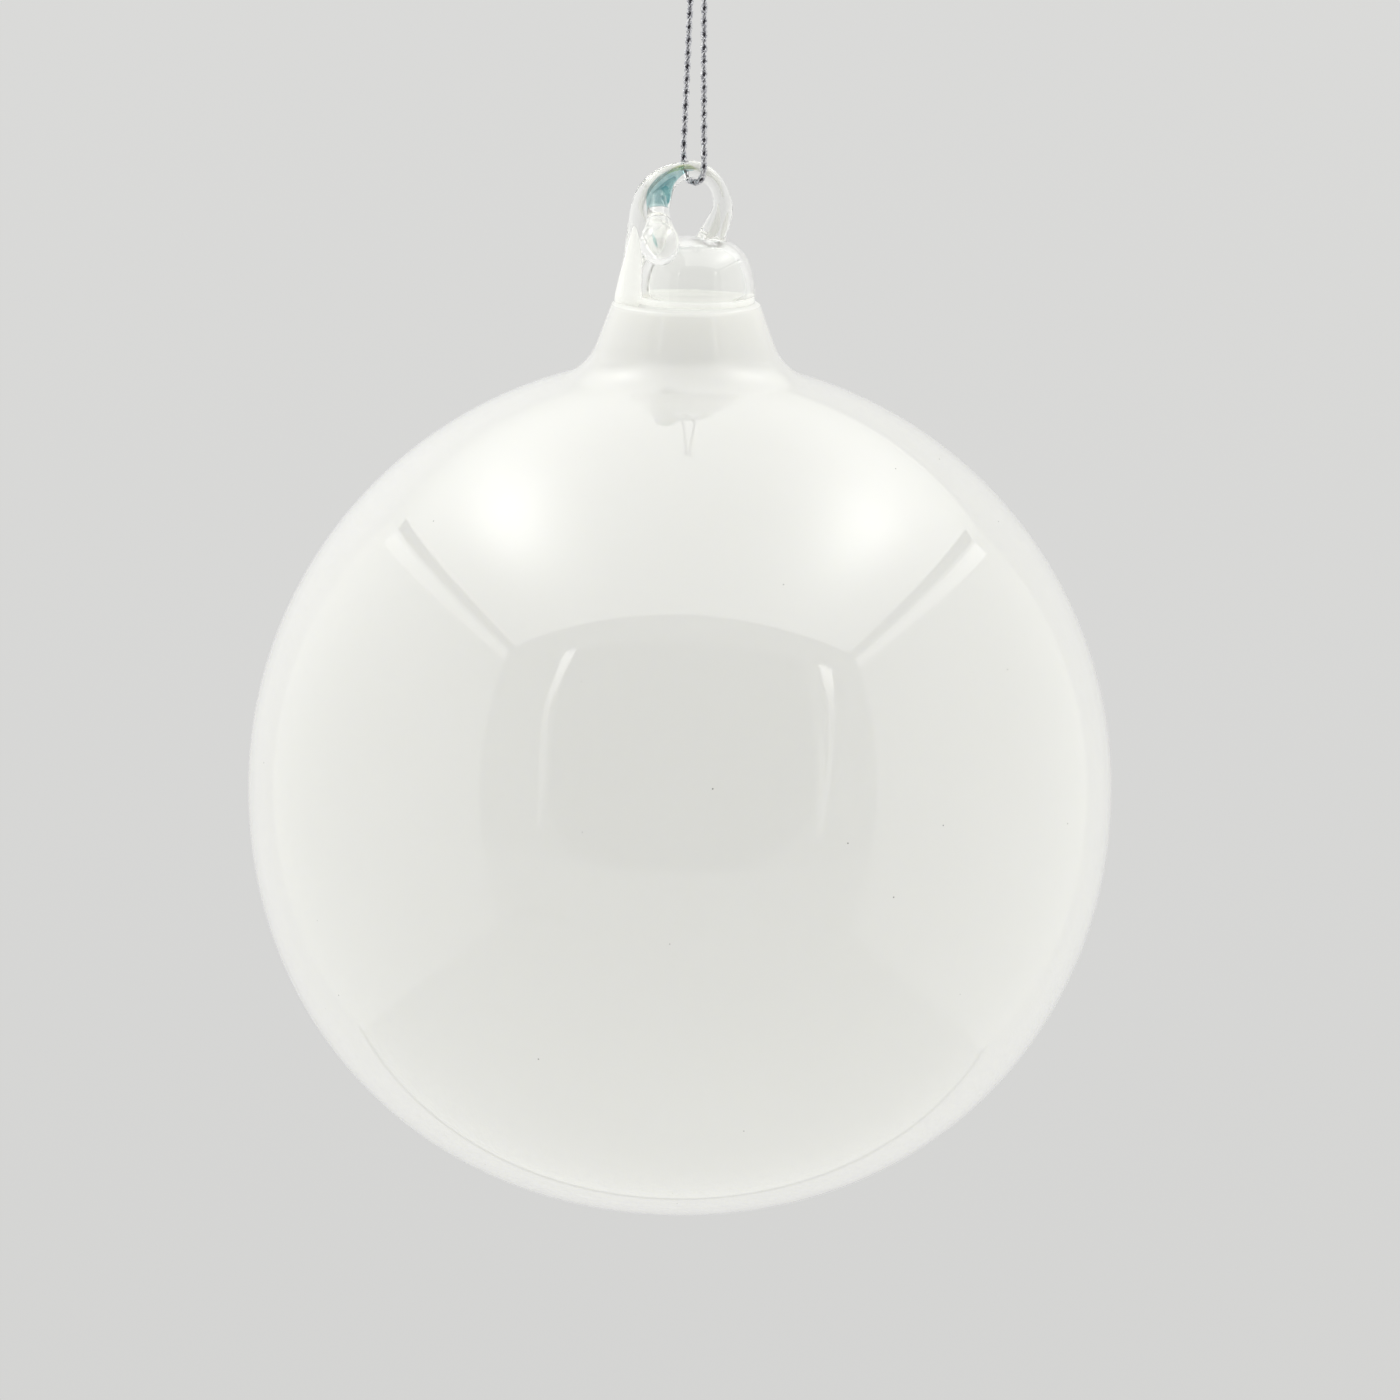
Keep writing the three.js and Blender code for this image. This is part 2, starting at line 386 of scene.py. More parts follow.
def silver_foil():
    """Narrow metallised film, creased where it was knitted, with painted shade in the hollows of the
    creases.
    """
    s = Shading("silver_foil")
    place = s.place()
    creases_and_shade = s.noise(place, scale=5000.0, detail=3.0)
    # painted shade: the film's colour is dark where the creases' bump is low, and silver where it is high
    colour = s.mix(s.spread(creases_and_shade, 0.3, 0.7), (0.18, 0.18, 0.22, 1), (0.85, 0.85, 0.88, 1))
    roughness = s.spread(creases_and_shade, 0.3, 0.7, 0.45, 0.25)
    shader = s.node(
        "BsdfPrincipled",
        {"Base Color": colour, "Roughness": roughness, "Normal": s.bump(creases_and_shade, distance=0.00004)},
    )
    shader.inputs["Metallic"].default_value = 0.9
    return s.finish(shader.outputs[0])


def dark_core():
    """The dark grey-violet filament that the film is knitted round."""
    s = Shading("thread_core")
    fibres = s.noise(s.place(), scale=6000.0, detail=2.0)
    colour = s.mix(fibres, (0.015, 0.013, 0.022, 1), (0.07, 0.065, 0.085, 1))
    shader = s.node("BsdfPrincipled", {"Base Color": colour})
    shader.inputs["Roughness"].default_value = 0.6
    return s.finish(shader.outputs[0])


# --- the thread ---

PLY_OFFSET = 0.205
PLY_WIDTH = 0.165
PLY_DEPTH = 0.085
BRAID_PITCH = 2.4
PLY_WEAVE = 0.03  # how far a ply rises and dips as it crosses the others
BRAID_FACING = np.array([0.05, -1.0, 0.0])  # the side that the braid's turns are counted from
CORE_RADIUS = 0.15
STRAND_SIDES = 8
THREAD_STEP = 0.15

# From the fork down the front strand, through the ring and up the back strand.
thread_route = [
    (0.34, -0.34, -0.2),
    (0.42, -0.46, -5),
    (0.52, -0.66, -11),
    (0.64, -0.88, -17),
    (0.76, -1.12, -22),
    (0.87, -1.34, -26),
    (0.92, -1.45, -28),
    (0.9, -1.42, -28.9),
    (0.72, -1.14, -29.55),
    (0.4, -0.63, -29.92),
    (0, 0, -30),
    (-0.4, 0.63, -29.92),
    (-0.74, 1.14, -29.55),
    (-0.93, 1.42, -28.9),
    (-0.97, 1.45, -28),
    (-0.96, 1.34, -26),
    (-0.88, 1.1, -22),
    (-0.78, 0.86, -17),
    (-0.65, 0.64, -11),
    (-0.5, 0.45, -5),
    (-0.38, 0.34, -0.2),
]


def knitted_thread(name, lines):
    """Thread along lines of points in millimetres: four flat plies braided round a dark core."""
    plies, cores = [], []
    for line in lines:
        across, beside = facing_frames(line, BRAID_FACING)
        step = np.linalg.norm(np.diff(line, axis=0), axis=1)
        along = np.concatenate([[0], np.cumsum(step)])
        turn = 2 * math.pi * along / BRAID_PITCH
        for hand in (1, -1):
            for start in (0, math.pi):
                angle = hand * turn + start
                weave = PLY_WEAVE * np.cos(2 * turn + (0 if hand > 0 else math.pi))
                offset = PLY_OFFSET + weave
                outward = across * np.cos(angle)[:, None] + beside * np.sin(angle)[:, None]
                ply = line + outward * offset[:, None]
                sideways = unit(np.cross(unit(np.gradient(ply, axis=0)), outward))
                plies.append(tube(ply, sideways, outward, PLY_WIDTH, PLY_DEPTH, STRAND_SIDES))
        cores.append(tube(line, across, beside, CORE_RADIUS, CORE_RADIUS, STRAND_SIDES))
    vertices, faces = joined(plies + cores)
    obj = mesh_object(name, vertices, faces, Matrix.Scale(MM, 4))
    obj.data.materials.append(silver_foil())
    obj.data.materials.append(dark_core())
    core_faces = sum(len(part_faces) for _, part_faces in cores)
    slots = np.zeros(len(faces), np.int32)
    slots[len(faces) - core_faces :] = 1
    obj.data.polygons.foreach_set("material_index", slots)
    return obj


KNOT_FOOT = 0.55
KNOT_HEIGHT = 1.5
KNOT_RADIUS = 0.62
KNOT_SWELL = 0.28  # how far the three lobes of the trefoil stand out
KNOT_LIFT = 0.5  # and how far they pass over and under each other
KNOT_FULLNESS = 0.6  # under 1, it opens the knot sooner from its two ends
KNOT_STEPS = 60
KNOT_STRIDE = 6  # one point in so many of the trefoil guides the spline


def knot_lines():
    """The doubled thread's two lines through the overhand knot and up to the cut tails."""
    share = np.linspace(0, 1, KNOT_STEPS)
    angle = 4 * math.pi * share
    lobes = 6 * math.pi * share
    ease = np.sin(math.pi * share) ** KNOT_FULLNESS
    radius = ease * (KNOT_RADIUS + KNOT_SWELL * np.cos(lobes))
    height = KNOT_FOOT + KNOT_HEIGHT * share + KNOT_LIFT * ease * np.sin(lobes)
    trefoil = np.stack([radius * np.cos(angle), radius * np.sin(angle), height], 1)
    guides = trefoil[KNOT_STRIDE:-KNOT_STRIDE:KNOT_STRIDE]
    lines = []
    for side in (1, -1):
        foot = [(0.36 * side, -0.34 * side, -0.5), (0.3 * side, -0.3 * side, 0.1)]
        head = [(0.34 * side, 0.1, 3.0), (0.7 * side, 0.0, 4.6), (1.45 * side, -0.3 * side, 6.3)]
        inside = guides + np.array([0.3 * side, -0.12 * side, 0.05 * side])
        lines.append(even(spline([*foot, *inside, *head], per_span=12), THREAD_STEP))
    return lines


def make_thread():
    """The loop of thread, down the front strand, round the bight and up the back strand, and the knot above
    it.
    """
    route = even(spline(thread_route, per_span=16), THREAD_STEP)
    thread = knitted_thread("hanging_thread", [route])
    knot = knitted_thread("knot", knot_lines())
    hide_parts("thread_front_strand", "thread_bight", "thread_back_strand")
    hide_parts("thread_knot")
    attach(knot, "knot")
    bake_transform(thread)


make_thread()

# --- the opal ball ---

BALL_SEGMENTS = 224
BLOWN_INSET = 0.05  # sets the skin's waves back, so that they hardly pass the ball's full size
SEAT_THICKNESS = 1.6
SEAT_DIP = 0.15
SEAT_RAISE = 0.03
SEAT_RINGS = np.array([0.985, 0.96, 0.93, 0.9, 0.87, 0.84, 0.81, 0.76, 0.68, 0.55, 0.4, 0.2, 0])
LIP = 0.25  # how far the rounded lip stands above the rim
LIP_MIDDLE = 0.9
LIP_SPREAD = 0.1


def fillet_arc():
    """The arc that touches the ball and the straight neck: its centre and its two end angles."""
    normal = np.array([1, NECK_TAPER]) / math.hypot(1, NECK_TAPER)
    down = np.array([NECK_TAPER, -1]) / math.hypot(1, NECK_TAPER)
    start = np.array([RIM_RADIUS, RIM_HEIGHT]) + normal * NECK_FILLET
    reach = BALL_RADIUS + NECK_FILLET
    travel = -start @ down - math.sqrt((start @ down) ** 2 - start @ start + reach**2)
    centre = start + down * travel
    return centre, math.atan2(centre[1], centre[0]), math.atan2(normal[1], normal[0])


def bubble_profile(depth, bottom_steps, top_steps, fillet_steps, neck_steps):
    """The (radius, height) line of ball and neck, a depth inside the skin, from the bottom to the rim."""
    power = 2 / BALL_FULLNESS
    angles = np.linspace(0, math.pi / 2, bottom_steps + 1)
    radius = BALL_RADIUS - depth
    bottom = np.stack(
        [radius * np.sin(angles) ** power, -(BALL_DROP - depth) * np.abs(np.cos(angles)) ** power], 1
    )
    bottom[-1, 1] = 0
    centre, tangent, neck_angle = fillet_arc()
    top = arc((0, 0), radius, 0, tangent, top_steps)[1:]
    fillet = arc(centre, NECK_FILLET + depth, math.pi + tangent, math.pi + neck_angle, fillet_steps)[1:]
    rim_radius = RIM_RADIUS - depth * math.hypot(1, NECK_TAPER)
    rim = np.array([rim_radius, RIM_HEIGHT - SEAT_THICKNESS * (depth > 0)])
    neck = fillet[-1] + (rim - fillet[-1]) * np.linspace(0, 1, neck_steps + 1)[1:, None]
    return np.vstack([bottom, top, fillet, neck])


def hand_blown(vertices):
    """Moves the ball's skin in and out by a few hundredths of a millimetre, in slow waves."""
    direction = unit(vertices)
    x, y, z = direction.T
    wave = 0.06 * np.sin(3.1 * x + 1.3) * np.cos(2.3 * z + 0.4)
    wave += 0.04 * np.sin(4.3 * z - 2.1 * y + 0.7)
    wave += 0.03 * np.cos(5.2 * y + 3.4 * x)
    return vertices + direction * (wave - BLOWN_INSET)[:, None]


def seat_profile(height, radius, lip=0.0):
    """From just inside the rim to the axis: a rounded lip, and the white skin that closes the neck."""
    heights = height + SEAT_RAISE - SEAT_DIP * (1 - SEAT_RINGS**4)
    heights += lip * np.maximum(1 - ((SEAT_RINGS - LIP_MIDDLE) / LIP_SPREAD) ** 2, 0)
    return list(zip(radius * SEAT_RINGS, heights))


def make_ball():
    """The hollow ball with its neck, closed by the seat that the clear glass stands on."""
    skin = bubble_profile(0, bottom_steps=60, top_steps=56, fillet_steps=16, neck_steps=10)
    seat = seat_profile(RIM_HEIGHT, RIM_RADIUS, LIP)
    inner_radius = RIM_RADIUS - WALL * math.hypot(1, NECK_TAPER)
    inner_skin = bubble_profile(WALL, bottom_steps=40, top_steps=36, fillet_steps=10, neck_steps=8)
    inside = [*inner_skin, *seat_profile(RIM_HEIGHT - SEAT_THICKNESS, inner_radius)]
    vertices, faces = revolve([*skin, *seat, *inside[::-1]], BALL_SEGMENTS)
    ball = mesh_object("blown_ball", hand_blown(vertices), faces, glass_frame)
    ball.data.materials.append(opal_glass())
    ball.data.materials.append(dense_white("seat_white", (0.92, 0.92, 0.90), (0.95, 0.95, 0.93)))
    slots = np.zeros(len(faces), np.int32)
    seat_start = (len(skin) - 1) * BALL_SEGMENTS
    slots[seat_start : seat_start + len(seat) * BALL_SEGMENTS] = 1
    ball.data.polygons.foreach_set("material_index", slots)
    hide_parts("opal_ball")
    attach(ball, "glass")


make_ball()

# --- the clear hanger: gather, ring and tail, melted into one, and the coloured glass inside it ---

# Every station is (x, y, z, radius) in millimetres about the ring's centre.
# The ring, from its root in the gather, over the top and down to its free foot.
rod_stations = [
    (-4.5, 0, -8.5, 2.45),
    (-4.4, 0, -6.8, 2.2),
    (-4.25, 0, -5.0, 1.95),
    (-4.05, 0, -2.7, 1.85),
    (-3.7, 0, 0.1, 1.8),
    (-3.3, 0, 1.45, 1.6),
    (-2.65, 0, 2.45, 1.25),
    (-1.5, 0, 3.25, 0.98),
    (0.1, 0, 3.7, 0.78),
    (1.2, 0, 3.33, 0.77),
    (2.0, 0, 2.7, 0.75),
    (2.6, 0, 1.75, 0.78),
    (2.9, 0, 0.2, 0.93),
    (2.5, 0, -1.2, 1.12),
    (1.75, 0, -2.8, 1.25),
]

# The drop that the rod's other end makes in front.
tail_stations = [
    (-2.9, -1.3, 1.25, 0.5),
    (-3, -2, 0.38, 0.92),
    (-2.9, -3.1, -0.95, 1.18),
    (-2.85, -4.15, -2.05, 1.6),
    (-2.75, -4.9, -2.65, 1.8),
    (-2.7, -5.5, -3.25, 1.2),
    (-2.65, -5.7, -3.5, 0.3),
]

# The teal tongue in the ring's left side, thin at its top, its dense core, and a sliver in the drop.
streak_stations = [
    (-3, -0.9, -0.15, 0.3),
    (-3, -0.85, 0.75, 0.95),
    (-2.85, -0.65, 1.55, 0.98),
    (-2.35, -0.45, 2.55, 0.7),
    (-1.5, -0.3, 3.25, 0.42),
    (-0.5, -0.2, 3.7, 0.22),
    (0.2, -0.2, 3.7, 0.08),
]

core_stations = [
    (-2.8, -0.9, 0.05, 0.2),
    (-2.85, -0.85, 0.75, 0.75),
    (-2.65, -0.65, 1.45, 0.65),
    (-2.1, -0.45, 2.45, 0.3),
    (-1.5, -0.3, 3, 0.1),
]

sliver_stations = [
    (-3.3, -5.3, -1.75, 0.03),
    (-3.15, -5.7, -2.25, 0.12),
    (-2.95, -5.9, -2.75, 0.03),
]

# A straw-coloured line over the teal.
straw_stations = [
    (-2.2, -0.75, 3.3, 0.05),
    (-1.4, -0.6, 3.75, 0.2),
    (-0.4, -0.5, 3.95, 0.2),
    (0.6, -0.5, 3.75, 0.06),
]

# White wisps, drawn out along the ring.
left_wisp = [
    (-3.9, -0.3, -1.2, 0.05),
    (-4.3, -0.3, 0.2, 0.22),
    (-3.6, -0.3, 2.1, 0.3),
    (-2.1, -0.2, 3.5, 0.25),
    (-0.6, -0.2, 3.95, 0.05),
]

top_wisp = [
    (-1.0, -0.3, 3.6, 0.05),
    (0.2, -0.3, 3.95, 0.3),
    (1.4, -0.3, 3.5, 0.3),
    (2.4, -0.3, 2.6, 0.16),
    (2.9, -0.3, 1.2, 0.05),
]

foot_wisp = [
    (2.5, -0.6, 0.6, 0.05),
    (2.5, -0.6, -0.6, 0.2),
    (2.1, -0.6, -1.9, 0.35),
    (1.4, -0.6, -2.9, 0.1),
]

outer_wisp = [
    (3.3, -0.4, -0.2, 0.05),
    (3.0, -0.4, -1.5, 0.22),
    (2.6, -0.4, -2.8, 0.12),
]

# The white that rises from the neck into the ring's root.
root_stations = [
    (-5.4, -0.5, -9.0, 0.95),
    (-5.35, -0.6, -8.2, 1.35),
    (-5.2, -0.6, -6.6, 1.2),
    (-5.05, -0.6, -5.0, 0.93),
    (-4.95, -0.55, -3.4, 0.6),
    (-4.9, -0.5, -1.6, 0.1),
]

# The white in the dome's foot: an arc about a centre, which is given as a station with no radius.
FOOT_CENTRE = np.array([0.5, 0, -8.2, 0])
FOOT_RADIUS = 5.05
FOOT_THICKNESS = 0.3
FOOT_START, FOOT_END = 185, 355  # in degrees, round the front
FOOT_STEPS = 24
ROOT_PAINTED_GLOW = 0.12  # a painted glow on the white at its root and foot, standing in for the light that the clear glass carries to it
INCLUSION_STEPS = 12

GRAIN = 0.12  # the grid that the melted glass is shaped on, in millimetres
GRID_SIDE = 8.2
GRID_FRONT = 8.4
GRID_TOP = 59.4
GRID_MARGIN = 0.6
REACH = 3.0  # how far from a rod its pull on the other glass is felt
SEAM_HEIGHT = 44.3  # where the clear glass ends, inside the white
SOFT_JOIN = 1.5  # how widely the ring's root flows into the gather
CRISP_JOIN = 0.25  # how widely its free end does
JOIN_SPREAD = 1.5  # how far left of the middle the join is soft all through
TAIL_JOIN = 0.45
BUBBLE_SKIN = 0.8
BUBBLE_FOOT = 45.4
BUBBLE_ROUNDING = 1.2
POLISH_FACTOR = 0.5
POLISH_ROUNDS = 14


def drawn_rod(stations, across, per_span, sides):
    """A closed rod through (x, y, z, radius) stations about the ring's centre."""
    line = spline(stations, per_span)
    centres = line[:, :3] + np.array([RING_OFFSET, 0, RING_HEIGHT])
    tangents = unit(np.gradient(centres, axis=0))
    across = np.broadcast_to(np.array(across, float), centres.shape)
    beside = unit(np.cross(tangents, across))
    return tube(centres, across, beside, line[:, 3], line[:, 3], sides)


def melt(first, second, width):
    """The union of two distance fields, with the crease between them filled over a width."""
    near = np.clip(1 - np.abs(first - second) / width, 0, 1)
    return np.minimum(first, second) - near * near * width / 4


def overlap(first, second, width):
    """The common part of two distance fields, with the edge between them rounded over a width."""
    return -melt(-first, -second, width)


def rod_field(axes, stations, per_span):
    """Distance to a round rod through (x, y, z, radius) stations about the ring's centre."""
    field = np.full([len(axis) for axis in axes], REACH, np.float32)
    line = spline(stations, per_span) + np.array([RING_OFFSET, 0, RING_HEIGHT, 0])
    for a, b in zip(line, line[1:]):
        low = np.minimum(a[:3] - a[3], b[:3] - b[3]) - REACH
        high = np.maximum(a[:3] + a[3], b[:3] + b[3]) + REACH
        window = tuple(slice(*np.searchsorted(axis, (l, h))) for axis, l, h in zip(axes, low, high))
        x, y, z = np.meshgrid(*(axis[w] for axis, w in zip(axes, window)), indexing="ij", sparse=True)
        step = (b - a)[:3]
        share = ((x - a[0]) * step[0] + (y - a[1]) * step[1] + (z - a[2]) * step[2]) / (step @ step)
        share = np.clip(share, 0, 1)
        away = np.sqrt(
            (x - a[0] - share * step[0]) ** 2
            + (y - a[1] - share * step[1]) ** 2
            + (z - a[2] - share * step[2]) ** 2
        )
        field[window] = np.minimum(field[window], away - a[3] - share * (b[3] - a[3]))
    return field


def dome_field(x, y, z, thickness):
    """Distance to the full, round-topped dome at the neck's clear end, a thickness inside its skin."""
    out = np.hypot(x - DOME_OFFSET, y) / (DOME_RADIUS - thickness)
    high = np.maximum(z - DOME_FOOT, 0) / (DOME_RISE - thickness)
    share = (out**DOME_FULLNESS + high**DOME_FULLNESS) ** (1 / DOME_FULLNESS)
    return (share - 1) * (DOME_RADIUS - thickness)


def gather_field(x, y, z):
    """Distance to the clear dome, which starts a little under the neck's rim."""
    return np.maximum(dome_field(x, y, z, 0), SEAM_HEIGHT - z)


def bubble_field(x, y, z):
    """Distance to the bubble that is blown in the dome."""
    return overlap(dome_field(x, y, z, BUBBLE_SKIN), BUBBLE_FOOT - z, BUBBLE_ROUNDING)


def cell_crossings(field):
    """For each cell of a grid, how many of its edges a field's zero crosses, and the sum of the places."""
    cells = tuple(n - 1 for n in field.shape)
    places = np.zeros((*cells, 3), np.float32)
    crossings = np.zeros(cells, np.float32)
    for axis in range(3):
        for u in (0, 1):
            for v in (0, 1):
                start = np.zeros(3, int)
                start[(axis + 1) % 3] = u
                start[(axis + 2) % 3] = v
                end = start.copy()
                end[axis] = 1
                a = field[tuple(slice(o, o + n) for o, n in zip(start, cells))]
                b = field[tuple(slice(o, o + n) for o, n in zip(end, cells))]
                crossed = (a < 0) != (b < 0)
                share = np.where(crossed, a / np.where(crossed, a - b, 1), 0)
                for k in range(3):
                    places[..., k] += crossed * (share if k == axis else start[k])
                crossings += crossed
    return places, crossings


def crossing_quads(field, index, axis):
    """A quad round each grid edge along an axis that a field's zero crosses, through its four cells."""
    u, v = (axis + 1) % 3, (axis + 2) % 3
    forward = np.zeros(3, int)
    forward[axis] = 1
    a = field[tuple(slice(1, n - 1) for n in field.shape)]
    b = field[tuple(slice(1 + f, n - 1 + f) for f, n in zip(forward, field.shape))]
    quads = []
    for leaving in (True, False):
        crossed = np.argwhere((a < 0) & (b >= 0) if leaving else (a >= 0) & (b < 0)) + 1
        around = []
        for du, dv in ((-1, -1), (0, -1), (0, 0), (-1, 0)):
            cell = crossed.copy()
            cell[:, u] += du
            cell[:, v] += dv
            around.append(index[tuple(cell.T)])
        quads.append(np.stack(around if leaving else around[::-1], 1))
    return np.vstack(quads)


def surface_of(field, axes):
    """The vertices and faces where a field on a grid is zero: one vertex to each cell it passes through."""
    places, crossings = cell_crossings(field)
    active = crossings > 0
    index = np.full(crossings.shape, -1)
    index[active] = np.arange(active.sum())
    spacing = np.array([axis[1] - axis[0] for axis in axes])
    vertices = (np.argwhere(active) + places[active] / crossings[active][:, None]) * spacing
    vertices += np.array([axis[0] for axis in axes])
    return vertices, np.vstack([crossing_quads(field, index, axis) for axis in range(3)])


def make_hanger():
    """Gather, ring and tail, melted into one: wide at the ring's root, narrow where the tail touches."""
    axes = [
        np.arange(-GRID_SIDE, GRID_SIDE, GRAIN, np.float32),
        np.arange(-GRID_FRONT, GRID_SIDE, GRAIN, np.float32),
        np.arange(SEAM_HEIGHT - GRID_MARGIN, GRID_TOP, GRAIN, np.float32),
    ]
    grid = np.meshgrid(*axes, indexing="ij", sparse=True)
    ring = rod_field(axes, rod_stations, per_span=8)
    tail = rod_field(axes, tail_stations, per_span=6)
    blending = CRISP_JOIN + (SOFT_JOIN - CRISP_JOIN) * np.clip(-grid[0] / JOIN_SPREAD, 0, 1)
    field = melt(gather_field(*grid), np.maximum(ring, SEAM_HEIGHT - grid[2]), blending)
    field = melt(field, tail, TAIL_JOIN)
    field = np.maximum(field, -bubble_field(*grid))
    vertices, faces = surface_of(field, axes)
    hanger = mesh_object("clear_hanger", vertices, faces)
    polish = hanger.modifiers.new("polish", "SMOOTH")
    polish.factor = POLISH_FACTOR
    polish.iterations = POLISH_ROUNDS
    apply_modifiers(hanger)
    hanger.data.transform(glass_frame)
    hanger.data.materials.append(clear_glass())
    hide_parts("neck_gather", "loop_rod", "loop_tail")
    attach(hanger, "glass")
    hanger.visible_diffuse = False  # the light on the white and on the thread passes through it


def rods(shapes, sides):
    """Vertices and faces of the rods through some lists of stations, as one mesh."""
    return joined([drawn_rod(s, across=(0, 1, 0), per_span=INCLUSION_STEPS, sides=sides) for s in shapes])


def white_foot():
    """The white that is caught in the dome's wall, round the front of its foot."""
    turns = np.radians(np.linspace(FOOT_START, FOOT_END, FOOT_STEPS))
    ring = [(FOOT_RADIUS * math.cos(a), FOOT_RADIUS * math.sin(a), 0, FOOT_THICKNESS) for a in turns]
    return drawn_rod(np.array(ring) + FOOT_CENTRE, across=(0, 0, 1), per_span=2, sides=16)


def make_streak():
    """The glass inside the clear glass: teal, a straw-coloured line, white wisps, a white root and foot
    with a painted glow.
    """
    layers = [
        (
            caught_glass("teal_glass", (0.27, 0.53, 0.57), (0.62, 0.80, 0.78)),
            rods([streak_stations, core_stations, sliver_stations], sides=24),
        ),
        (milky_wisp(), rods([left_wisp, top_wisp, foot_wisp, outer_wisp], sides=16)),
        (
            caught_glass("straw_glass", (0.74, 0.84, 0.50), (0.90, 0.95, 0.72)),
            rods([straw_stations], sides=16),
        ),
        (
            # the white root and foot, with a painted glow
            dense_white("root_white_painted_glow", (0.95, 0.95, 0.93), (0.98, 0.98, 0.965), ROOT_PAINTED_GLOW),
            joined([rods([root_stations], sides=32), white_foot()]),
        ),
    ]
    vertices, faces = joined([shape for _, shape in layers])
    streak = mesh_object("teal_inclusion", vertices, faces, glass_frame)
    for material, _ in layers:
        streak.data.materials.append(material)
    slots = np.repeat(np.arange(len(layers), dtype=np.int32), [len(shape[1]) for _, shape in layers])
    streak.data.polygons.foreach_set("material_index", slots)
    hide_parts("teal_streak")
    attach(streak, "glass")
    streak.visible_glossy = False  # too faint to be seen in the ball's skin


make_hanger()
make_streak()

# --- the studio: a white light tent that only reflections see, and pale bowls for all other rays ---

TENT = 0.30  # from the ball to the tent's front; the tent's other places are in this unit
CEILING = 1.0
FLOOR = -0.92
BACK = 1.07
LEFT_FRONT, LEFT_BACK = -1.27, -1.14
RIGHT_FRONT, RIGHT_BACK = 1.24, 1.11
OPENING_LEFT, OPENING_RIGHT = -0.64, 0.68
OPENING_TOP, OPENING_BOTTOM = 0.77, -0.35
HEM_TOP = -0.87
BAND_LOW, BAND_HIGH = 0.89, 0.97
SEAM_WIDTH = 0.075
SEAM_END = 0.88  # how much of each long edge its seam covers, from the front
HAIR = 0.01  # how far a strip stands off the sheet that it is sewn to
ROOM_FRONT = -1.3
ROOM_SIDE = 9
BOWL_RADIUS = 4.0
BOWL_STEPS = 48
BACKDROP_SEGMENTS = 96
WARM = (0.995, 1.0, 0.965)
NEUTRAL = (1.0, 1.0, 0.995)
GREY = (0.695, 0.695, 0.685)


def tent_point(x, y, z):
    """A place in the tent's unit about the ball, in metres."""
    return ball_centre + TENT * Vector((x, y, z))


def glow(name, colour, strength, spots=()):
    """An even glow, with soft brighter or darker spots: each a centre, three widths and a strength."""
    s = Shading(name)
    total = strength
    for centre, widths, extra in spots:
        place = s.node("Mapping", {"Vector": s.place()}, vector_type="TEXTURE")
        place.inputs["Location"].default_value = tent_point(*centre)
        place.inputs["Scale"].default_value = [TENT * width for width in widths]
        away = s.node("VectorMath", {0: place.outputs[0]}, operation="LENGTH").outputs["Value"]
        bell = s.math("POWER", math.e, s.math("MULTIPLY", s.math("MULTIPLY", away, away), -1.0))
        total = s.math("ADD", s.math("MULTIPLY", bell, extra), total)
    shader = s.node("Emission", {"Color": (*colour, 1), "Strength": total})
    s.material.cycles.emission_sampling = "NONE"
    return s.finish(shader.outputs[0])


def sloped_glow(name, colour, strength, slope, spread=0.0, front_loss=0.0):
    """A bowl's glow: stronger along a slope and to the sides, top and bottom, and weaker in front."""
    s = Shading(name)
    shrink = [1 / BOWL_RADIUS] * 3
    direction = s.node("VectorMath", {0: s.place(), 1: shrink}, operation="MULTIPLY").outputs[0]
    along = s.node("VectorMath", {0: direction, 1: slope}, operation="DOT_PRODUCT").outputs["Value"]
    depth = s.node("SeparateXYZ", {0: direction}).outputs["Y"]
    round_about = s.math("SUBTRACT", 1.0, s.math("MULTIPLY", depth, depth))
    total = s.math("ADD", s.math("ADD", along, strength), s.math("MULTIPLY", round_about, spread))
    total = s.math("ADD", total, s.math("MULTIPLY", s.math("MINIMUM", depth, 0.0), front_loss))
    shader = s.node("Emission", {"Color": (*colour, 1), "Strength": total})
    s.material.cycles.emission_sampling = "NONE"
    return s.finish(shader.outputs[0])


def seen_by(obj, *rays):
    """Lets only the rays of these kinds see an object."""
    for ray in ("camera", "diffuse", "glossy", "transmission", "volume_scatter", "shadow"):
        setattr(obj, "visible_" + ray, ray in rays)


def tent_sheet(name, corners, material):
    """A flat sheet of the tent, seen only in reflections."""
    sheet = mesh_object(name, [tent_point(*c) for c in corners], [tuple(range(len(corners)))])
    sheet.matrix_world = pitched
    sheet.data.materials.append(material)
    seen_by(sheet, "glossy")


def front_sheet(name, outline, material, y=-1.0):
    """A sheet in the tent's front, from its (x, z) outline."""
    tent_sheet(name, [(x, y, z) for x, z in outline], material)


def box_outline(x0, x1, z0, z1):
    """The four corners of a rectangle."""
    return [(x0, z0), (x1, z0), (x1, z1), (x0, z1)]


